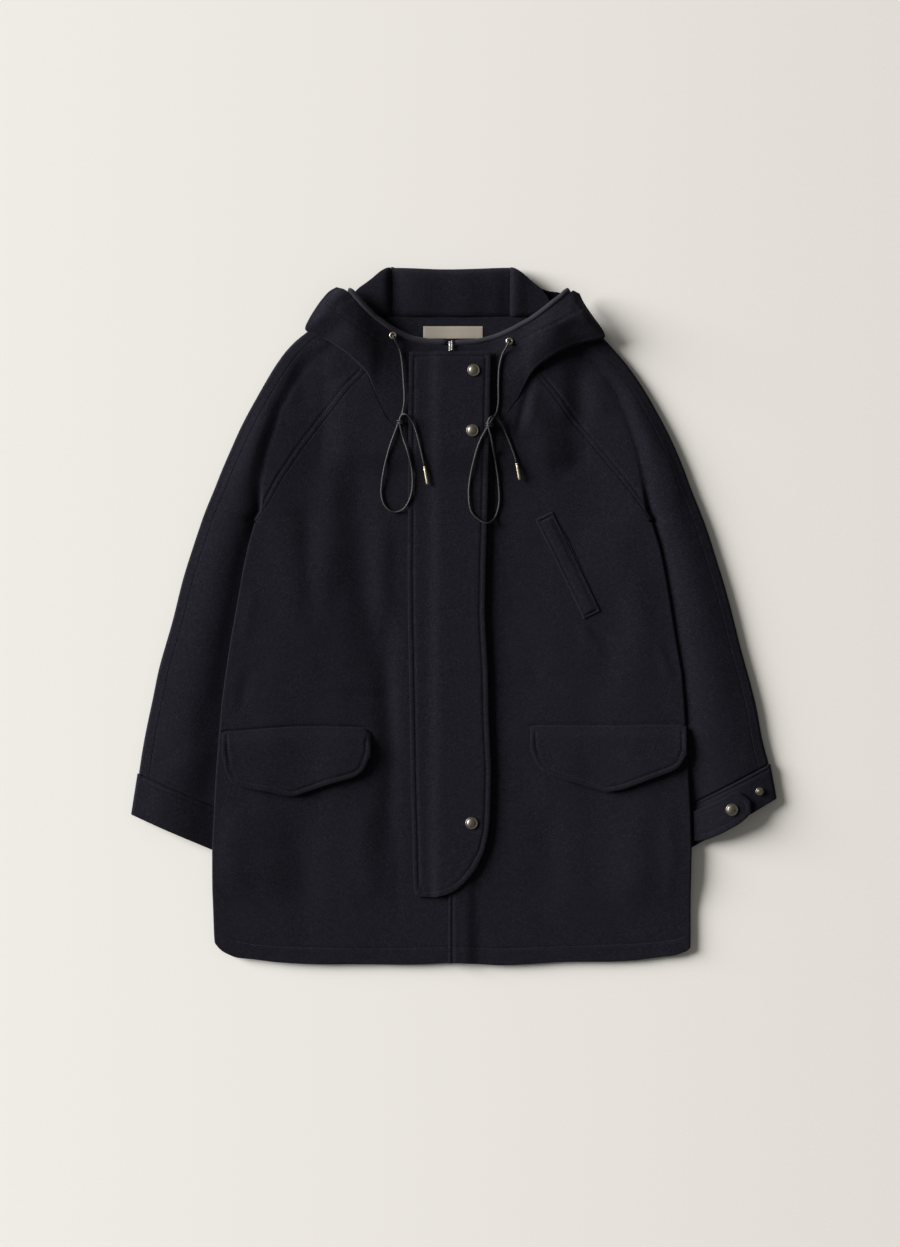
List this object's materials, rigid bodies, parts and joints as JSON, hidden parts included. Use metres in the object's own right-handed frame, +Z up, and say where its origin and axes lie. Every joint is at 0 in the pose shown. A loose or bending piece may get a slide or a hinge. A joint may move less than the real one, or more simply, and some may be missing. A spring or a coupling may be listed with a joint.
{
  "type": "parka",
  "caption": "Hooded wool parka laid flat: raglan sleeves, snapped wind placket, flap pockets, slanted chest welt and hood drawcord.",
  "frame": {"origin": "on the surface the coat lies on, under the middle of its outline", "axes": "+X to the right of the coat as seen from above, +Y from the hem to the hood, +Z up from the surface"},
  "size_m": [0.8054, 0.8694, 0.0337],
  "materials": {
    "wool": "brushed melton wool",
    "binding": "woven tape",
    "cord": "waxed round cord",
    "label": "woven tape",
    "snap_metal": "antique, darkened",
    "brass": "satin"
  },
  "bodies": {
    "root": {"back_panel": "wool", "binding_left": "binding", "binding_right": "binding", "chest_welt": "wool", "cord_tip_left": "brass", "cord_tip_right": "brass", "cuff_left": "wool", "cuff_right": "wool", "cuff_stud": "snap_metal", "cuff_tab": "wool", "drawcord_left": "cord", "drawcord_right": "cord", "eyelet_left": "brass", "eyelet_right": "brass", "flap_left": "wool", "flap_right": "wool", "front_left": "wool", "front_right": "wool", "hood_centre": "wool", "hood_rear_left": "wool", "hood_rear_right": "wool", "hood_side_left": "wool", "hood_side_right": "wool", "neck_label": "label", "placket": "wool", "sleeve_back_left": "wool", "sleeve_back_right": "wool", "sleeve_front_left": "wool", "sleeve_front_right": "wool", "snap_bottom": "snap_metal", "snap_middle": "snap_metal", "snap_tab": "snap_metal", "snap_top": "snap_metal", "zip_end": "brass"}
  },
  "joints": []
}
